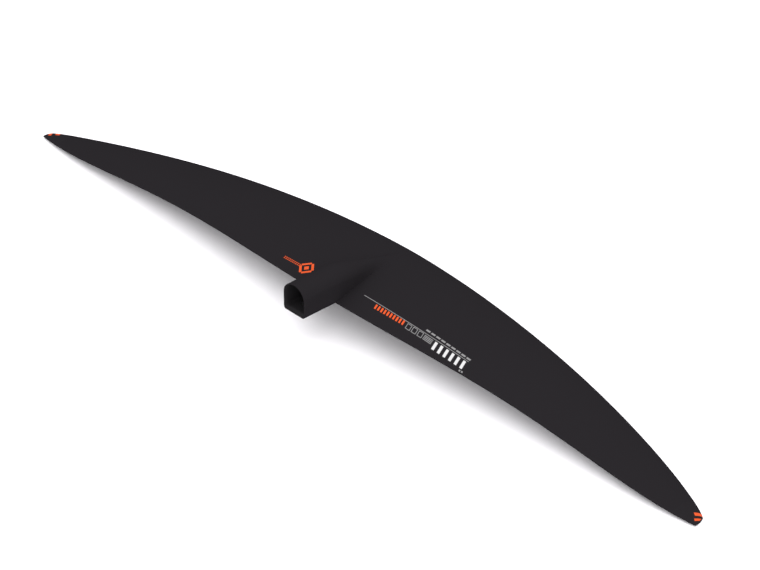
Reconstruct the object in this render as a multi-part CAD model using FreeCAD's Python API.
import FreeCAD, Part
import os
from math import cos, pi, sin

V = FreeCAD.Vector

# Hydrofoil front wing, millimetres.  +X starboard, +Y toward the leading edge, +Z up.
# The origin lies midway between the two bolt holes, on the inner floor of the socket, directly
# below the trailing edge at mid-span.  The shapes are drawn from the socket's under-face and
# lowered by the floor's thickness when they are saved.

# ---- overall form ----
SPAN = 1060.0
ROOT_CHORD = 134.0
TIP_CHORD = 12.5
TIP_SWEEP = 28.6
TIP_DROP = 38.4
THICKNESS_RATIO = 0.110
EXTRA_THICKNESS = 0.8
CAMBER_RATIO = 0.035
EDGE_THICKNESS = 1.0
ROOT_NOSE_DOWN = 0.0135
TIP_NOSE_DOWN = 0.097
TIP_ROUND_START = 0.99
TIP_BULGE = 1.1
TAIL_RISE = 1.2

# Outline and section terms.  The series are in even powers of s (0 at mid-span, 1 at the tip),
# and the section series is in the square root, then whole powers, of u (0 at the nose, 1 aft).
TRAILING_TERMS = (3.62, -7.44, 6.15, -1.33)
DROP_TERMS = (1.26, -0.07, -0.19)
LEADING_POWER = 1.76
LEADING_ROUNDNESS = 0.74
LEADING_BOW = 0.09
SECTION_POWERS = (0.5, 1, 2, 3, 4)
SECTION_TERMS = (0.2969, -0.1260, -0.3516, 0.2843, -0.1036)

# ---- laminate, spar and cores ----
SKIN = 1.0
CAP = 1.2
WEB = 1.6
SOLID_TAIL = 8.0
NOSE_STRIP = 0.10
SPAR_FROM = 0.25
SPAR_TO = 0.45
TAIL_STRIP = 0.84
SPAR_END = 0.80
TIP_JOINT = 0.943
CENTRE_MARGIN = 6.0

# ---- socket and the fairing in front of it ----
SOCKET_WIDTH = 33.4
SOCKET_HEIGHT = 37.1
SOCKET_BACK = 46.0
SOCKET_CORNER = 3.5
ARCH_RISE = 0.9
LINER = 1.0
SOCKET_FLOOR = 4.2
LEAD_IN = 3.0
RIM_LAND = 0.8
PAD_FRONT = 50.0
POCKET_FRONT = 36.0
POCKET_END_WIDTH = 22.0
POCKET_END_HEIGHT = 25.0
FAIRING_START = 8.0
LINER_STEP = 16.0
FAIRING_REACH = 0.895
FAIRING_FALL = 2.3
FAIRING_NARROWING = 0.35
FAIRING_SINK = 0.3
FLARE_START = 24.0
FLARE_END = 80.0
FLARE_SPREAD = 6.6
FLARE_FULLNESS = 0.65
FLARE_END_WIDTH = 10.0

# ---- bolts ----
BOLT_SPACING = 50.0
BOLT_HOLE_RADIUS = 3.3
BOLT_HEAD_RADIUS = 6.0
BUSH_RADIUS = 7.5

HALF = SPAN / 2.0
BIG = SPAN
flare_width = SOCKET_WIDTH + FLARE_SPREAD
centre_half = flare_width / 2.0 + CENTRE_MARGIN
joint_x = TIP_JOINT * HALF
spar_x = SPAR_END * HALF
SPAN_STATIONS = (0.0, 0.1, 0.2, 0.3, 0.4, 0.5, 0.6, 0.7, 0.8, 0.88, 0.94, 0.975, 1.0)
PROFILE_STEPS = 14
SEAM_FRACTIONS = (-0.1, 0.2, 0.5, 0.8, 1.1)
SEAM_OVERRUN = 1.0
ARCH_STEPS = 36
FAIRING_STEPS = 12


# ---- the wing as formulas of s and u ----
def even_series(terms, s):
    return sum(term * s ** (2 * i + 2) for i, term in enumerate(terms))


def trailing_y(s):
    return TIP_SWEEP * even_series(TRAILING_TERMS, s)


def leading_y(s):
    tip = TIP_SWEEP + TIP_CHORD
    bow = LEADING_BOW * ROOT_CHORD * s**2 * (1.0 - s**2)
    return tip + (ROOT_CHORD - tip) * (1.0 - s**LEADING_POWER) ** LEADING_ROUNDNESS + bow


def chord(s):
    return leading_y(s) - trailing_y(s)


def chord_y(s, u):
    return leading_y(s) - u * chord(s)


def trailing_z(s):
    return TAIL_RISE + EDGE_THICKNESS / 2.0 - TIP_DROP * even_series(DROP_TERMS, s)


def camber_z(s, u):
    nose_down = ROOT_NOSE_DOWN + TIP_NOSE_DOWN * s**2
    return trailing_z(s) - chord(s) * (nose_down * (1.0 - u) - 4.0 * CAMBER_RATIO * u * (1.0 - u))


def half_thickness(s, u):
    full = THICKNESS_RATIO * chord(s) + EXTRA_THICKNESS
    shape = sum(term * u**power for term, power in zip(SECTION_TERMS, SECTION_POWERS))
    return 5.0 * full * shape + 0.5 * EDGE_THICKNESS * u


def top_z_at_root(y):
    u = (ROOT_CHORD - y) / ROOT_CHORD
    return camber_z(0.0, u) + half_thickness(0.0, u)


# ---- drawing helpers ----
def spline(points):
    curve = Part.BSplineCurve()
    curve.interpolate(points)
    return curve.toShape()


def loft(wires):
    return Part.makeLoft(wires, True, False)


def both_sides(last):
    inner = [s for s in SPAN_STATIONS if s < last - 0.01] + [last]
    return [-s for s in reversed(inner[1:])] + inner


def profile_line(s, side, inset, front, back):
    """Points along one surface of the profile; side is +1 upper, 0 camber line, -1 lower."""
    a = abs(s)
    points = []
    for i in range(PROFILE_STEPS + 1):
        u = front + (back - front) * (i / PROFILE_STEPS) ** 2
        z = camber_z(a, u) + side * (half_thickness(a, u) - inset)
        points.append(V(s * HALF, chord_y(a, u), z))
    return points


def whole_form():
    """The wing's outer form, tip to tip, without the socket."""
    wires = []
    for s in both_sides(1.0):
        upper = profile_line(s, 1, 0.0, 0.0, 1.0)
        lower = profile_line(s, -1, 0.0, 0.0, 1.0)
        tail = Part.makeLine(upper[-1], lower[-1])
        wires.append(Part.Wire([spline(upper), tail, spline(lower[::-1])]))
    return loft(wires)


def above_camber():
    """Everything over the surface where the two moulded halves meet."""
    wires = []
    for s in both_sides(1.0):
        x = s * (HALF + SEAM_OVERRUN)
        middle = [V(x, chord_y(abs(s), u), camber_z(abs(s), u)) for u in SEAM_FRACTIONS]
        ends = [V(p.x, p.y, BIG) for p in (middle[-1], middle[0])]
        sides = [Part.makeLine(a, b) for a, b in ((middle[-1], ends[0]), ends, (ends[1], middle[0]))]
        wires.append(Part.Wire([spline(middle)] + sides))
    return loft(wires)


def inner_form(inset, last, limits):
    """Solid inside the wing, a constant inset below both surfaces, between two chord fractions."""
    wires = []
    for s in both_sides(last):
        front, back = limits(abs(s))
        upper = profile_line(s, 1, inset, front, back)
        lower = profile_line(s, -1, inset, front, back)
        edges = [spline(upper), Part.makeLine(upper[-1], lower[-1])]
        edges += [spline(lower[::-1]), Part.makeLine(lower[0], upper[0])]
        wires.append(Part.Wire(edges))
    return loft(wires)


def hollow_limits(s):
    return 2.0 * SKIN / chord(s), 1.0 - SOLID_TAIL / chord(s)


def spar_limits(s):
    return 0.5 * SPAR_FROM, 1.3 * SPAR_TO


def curtain(front, back, front_shift=0.0, back_shift=0.0):
    """Upright prism following two chord fractions along the whole span."""
    stations = both_sides(TIP_JOINT)
    ahead = [V(s * HALF, chord_y(abs(s), front) + front_shift, -BIG) for s in stations]
    behind = [V(s * HALF, chord_y(abs(s), back) + back_shift, -BIG) for s in stations]
    ends = [Part.makeLine(ahead[-1], behind[-1]), Part.makeLine(behind[0], ahead[0])]
    wire = Part.Wire([spline(ahead), ends[0], spline(behind[::-1]), ends[1]])
    return Part.Face(wire).extrude(V(0, 0, 2.0 * BIG))


def slab(x0, x1):
    return Part.makeBox(x1 - x0, 2.0 * BIG, 2.0 * BIG, V(x0, -BIG, -BIG))


def between_y(y0, y1):
    return Part.makeBox(2.0 * BIG, y1 - y0, 2.0 * BIG, V(-BIG, y0, -BIG))


def one_solid(shape):
    """The largest solid of a result, cleaned."""
    solids = sorted(shape.Solids, key=lambda item: item.Volume)
    return solids[-1]


def arch_points(y, half_width, top, base, corner):
    """Points round a D-shaped section: base corner, side, round top, side, base corner."""
    rise = ARCH_RISE * half_width
    side = top - rise - base - corner
    quarter = 0.5 * pi * corner
    arc = 0.5 * pi * half_width
    total = quarter + side + arc
    right = []
    for i in range(ARCH_STEPS // 2 + 1):
        run = total * i / (ARCH_STEPS // 2)
        if run <= quarter:
            a = run / corner
            point = (half_width - corner + corner * sin(a), base + corner - corner * cos(a))
        elif run <= quarter + side:
            point = (half_width, base + corner + run - quarter)
        else:
            a = (run - quarter - side) / half_width
            point = (half_width * cos(a), top - rise + rise * sin(a))
        right.append(point)
    left = [(-x, z) for x, z in reversed(right[:-1])]
    return [V(x, y, z) for x, z in right + left]


def arch_wire(points):
    return Part.Wire([spline(points), Part.makeLine(points[-1], points[0])])


def socket_wire(y, inset, floor):
    corner = SOCKET_CORNER - inset
    return arch_wire(arch_points(y, SOCKET_WIDTH / 2.0 - inset, SOCKET_HEIGHT - inset, floor, corner))


def socket_tube(inset, floor, y0, y1):
    return Part.Face(socket_wire(y0, inset, floor)).extrude(V(0, y1 - y0, 0))


def lead_in():
    """Bevel round the inside of the mouth that leaves only a narrow rim."""
    mouth = socket_wire(-SOCKET_BACK, RIM_LAND, RIM_LAND)
    inner = socket_wire(LEAD_IN - SOCKET_BACK, SKIN + LINER, SOCKET_FLOOR)
    return Part.makeLoft([mouth, inner], True, True)


def pocket_nose(inset, floor, y1):
    """Tapering front part of the pocket, from the full section to the small end section."""
    half_width = POCKET_END_WIDTH / 2.0 - inset
    end = arch_points(y1, half_width, POCKET_END_HEIGHT - inset, floor, SOCKET_CORNER - SKIN - inset)
    return Part.makeLoft([socket_wire(FAIRING_START, SKIN + inset, floor), arch_wire(end)], True, True)


def fairing(inset):
    """Hump that carries the socket's outline forward and sinks it into the upper surface."""
    wires = []
    for i in range(FAIRING_STEPS + 1):
        t = i / FAIRING_STEPS
        y = FAIRING_START + t * (FAIRING_REACH * ROOT_CHORD - FAIRING_START)
        keep = cos(0.5 * pi * t) ** FAIRING_FALL
        skin_z = top_z_at_root(y) - FAIRING_SINK * (1.0 - keep)
        top = keep * SOCKET_HEIGHT + (1.0 - keep) * skin_z - inset
        half_width = 0.5 * SOCKET_WIDTH * (1.0 - FAIRING_NARROWING * t) - inset
        arch_top = max(top, half_width + SOCKET_CORNER + inset)
        arch = arch_points(y, half_width, arch_top, inset, SOCKET_CORNER - inset)
        reach = min(max((y - FLARE_START) / (FLARE_END - FLARE_START), 0.0), 1.0)
        flare = reach * reach * (3.0 - 2.0 * reach)
        foot = 0.5 * (flare_width + (FLARE_END_WIDTH - flare_width) * t) - inset
        foot_z = skin_z - inset - FAIRING_SINK
        points = []
        for k, p in enumerate(arch):
            x = foot * (1.0 - 2.0 * k / ARCH_STEPS)
            z = foot_z + (top - foot_z) * (0.5 + 0.5 * cos(pi * x / foot)) ** FLARE_FULLNESS
            points.append(V(p.x + flare * (x - p.x), y, p.z + flare * (z - p.z)))
        wires.append(arch_wire(points))
    return loft(wires)


def tip_trim(side):
    """Upright prism that keeps everything inside the rounded tip outline."""
    start = V(side * TIP_ROUND_START * HALF, leading_y(TIP_ROUND_START), -BIG)
    corner = V(side * HALF, trailing_y(1.0), -BIG)
    across = corner - start
    outward = V(abs(across.y), abs(across.x), 0).normalize()
    middle = (start + corner) * 0.5 + V(side * outward.x, outward.y, 0) * TIP_BULGE
    rim = Part.Arc(start, middle, corner).toShape()
    inner = V(side * 0.5 * HALF, start.y, -BIG)
    ahead = V(side * 0.5 * HALF, 2.0 * ROOT_CHORD, -BIG)
    ahead_tip = V(start.x, 2.0 * ROOT_CHORD, -BIG)
    tail = V(corner.x, -ROOT_CHORD, -BIG)
    tail_in = V(inner.x, -ROOT_CHORD, -BIG)
    corners = [corner, tail, tail_in, ahead, ahead_tip, start]
    sides = [Part.makeLine(a, b) for a, b in zip(corners, corners[1:])]
    return Part.Face(Part.Wire([rim] + sides)).extrude(V(0, 0, 2.0 * BIG))


def bush_hole(y):
    return Part.makeCylinder(BUSH_RADIUS, SOCKET_FLOOR + ROOT_CHORD, V(0, y, -ROOT_CHORD))


def bolt_bush(y):
    """Stainless bush, flush with the under-face, countersunk from below."""
    body = Part.makeCylinder(BUSH_RADIUS, SOCKET_FLOOR, V(0, y, 0))
    depth = BOLT_HEAD_RADIUS - BOLT_HOLE_RADIUS
    sink = Part.makeCone(BOLT_HEAD_RADIUS, BOLT_HOLE_RADIUS, depth, V(0, y, 0))
    hole = Part.makeCylinder(BOLT_HOLE_RADIUS, SOCKET_FLOOR, V(0, y, 0))
    return body.cut(sink.fuse(hole))


# ---- whole forms ----
whole = whole_form()
upper_tool = above_camber()
upper_half = whole.common(upper_tool)
lower_half = whole.cut(upper_tool)
hollow = inner_form(SKIN, TIP_JOINT, hollow_limits)
under_caps = inner_form(SKIN + CAP, SPAR_END, spar_limits)
sleeve = socket_tube(0.0, 0.0, -SOCKET_BACK, FAIRING_START)
sleeve_inside = socket_tube(SKIN, SKIN, -SOCKET_BACK, FAIRING_START)
hump = fairing(0.0)
hump_inside = fairing(SKIN)
liner_collar = hump_inside.common(between_y(FAIRING_START, LINER_STEP))
liner_form = sleeve_inside.fuse([liner_collar, pocket_nose(0.0, SKIN, POCKET_FRONT + LINER)])
pocket = socket_tube(SKIN + LINER, SOCKET_FLOOR, -SOCKET_BACK, FAIRING_START)
mouth_bevel = lead_in()
pocket = pocket.fuse([pocket_nose(LINER, SOCKET_FLOOR, POCKET_FRONT), mouth_bevel])
pad_depth = Part.makeBox(BIG, BIG, SKIN, V(-BIG / 2.0, -BIG / 2.0, 0))
bolt_rows = (("front", BOLT_SPACING / 2.0), ("rear", -BOLT_SPACING / 2.0))
bush_holes = bush_hole(bolt_rows[0][1]).fuse(bush_hole(bolt_rows[1][1]))


def upper_skin(x0, x1):
    return one_solid(upper_half.common(slab(x0, x1)).cut(hollow))


def root_shell():
    """Centre of the upper skin in one moulding with the fairing hump and the socket sleeve."""
    top = upper_half.common(slab(-centre_half, centre_half)).fuse(hump).cut(lower_half)
    shell = one_solid(top).fuse(sleeve)
    return one_solid(shell.cut([hollow, sleeve_inside, hump_inside, liner_form, mouth_bevel, bush_holes]))


def lower_skin():
    pad = socket_tube(0.0, 0.0, FAIRING_START, PAD_FRONT).common(pad_depth)
    shell = lower_half.common(slab(-joint_x, joint_x)).cut(sleeve).fuse(pad)
    return one_solid(shell.cut([hollow, liner_form, bush_holes]))


def tip_block(side):
    outer = slab(joint_x, BIG) if side > 0 else slab(-BIG, -joint_x)
    return one_solid(whole.common(outer).common(tip_trim(side)))


def strip(front, back, x0, x1):
    return one_solid(hollow.common(curtain(front, back)).common(slab(x0, x1)))


def spar_parts():
    run = slab(-spar_x, spar_x)
    shafts = hollow.common(curtain(SPAR_FROM, SPAR_TO)).common(run)
    caps = sorted(shafts.cut(under_caps).Solids, key=lambda item: item.CenterOfMass.z)
    inside = under_caps.common(run)
    front = inside.common(curtain(SPAR_FROM, SPAR_FROM, 0.0, -WEB))
    back = inside.common(curtain(SPAR_TO, SPAR_TO, WEB, 0.0))
    core = inside.common(curtain(SPAR_FROM, SPAR_TO, -WEB, WEB))
    return {
        "spar_cap_lower": caps[0],
        "spar_cap_upper": caps[-1],
        "spar_web_front": one_solid(front),
        "spar_web_rear": one_solid(back),
        "spar_core": one_solid(core),
    }


def root_block():
    block = hollow.common(curtain(SPAR_TO, 1.0)).common(slab(-centre_half, centre_half))
    return one_solid(block.cut([liner_form, bush_holes]))


def fairing_core():
    return one_solid(hump_inside.cut([hollow, lower_half, liner_form]))


def socket_liner():
    return one_solid(liner_form.cut([pocket, bush_holes]))


def build():
    shapes = {"root_shell": root_shell(), "lower_skin": lower_skin()}
    shapes.update(spar_parts())
    for name, side in (("starboard", 1), ("port", -1)):
        def run(x0, x1):
            return (x0, x1) if side > 0 else (-x1, -x0)
        shapes["upper_skin_" + name] = upper_skin(*run(centre_half, joint_x))
        shapes["leading_edge_" + name] = strip(0.0, NOSE_STRIP, *run(0.0, joint_x))
        shapes["front_core_" + name] = strip(NOSE_STRIP, SPAR_FROM, *run(0.0, spar_x))
        shapes["rear_core_" + name] = strip(SPAR_TO, TAIL_STRIP, *run(centre_half, spar_x))
        shapes["outer_core_" + name] = strip(NOSE_STRIP, TAIL_STRIP, *run(spar_x, joint_x))
        shapes["trailing_edge_" + name] = strip(TAIL_STRIP, 1.0, *run(centre_half, joint_x))
        shapes["tip_block_" + name] = tip_block(side)
    shapes["root_block"] = root_block()
    shapes["fairing_core"] = fairing_core()
    shapes["socket_liner"] = socket_liner()
    for name, y in bolt_rows:
        shapes["bolt_bush_" + name] = bolt_bush(y)
    return shapes


os.makedirs("parts", exist_ok=True)
for node, drawn in build().items():
    shape = drawn.translated(V(0, 0, -SOCKET_FLOOR))
    shape.exportStep("parts/" + node + ".step")
    box = shape.BoundBox
    print("%-24s %9.0f mm3  x %.1f..%.1f  y %.1f..%.1f  z %.1f..%.1f  valid %s" % (
        node, shape.Volume, box.XMin, box.XMax, box.YMin, box.YMax, box.ZMin, box.ZMax, shape.isValid()))
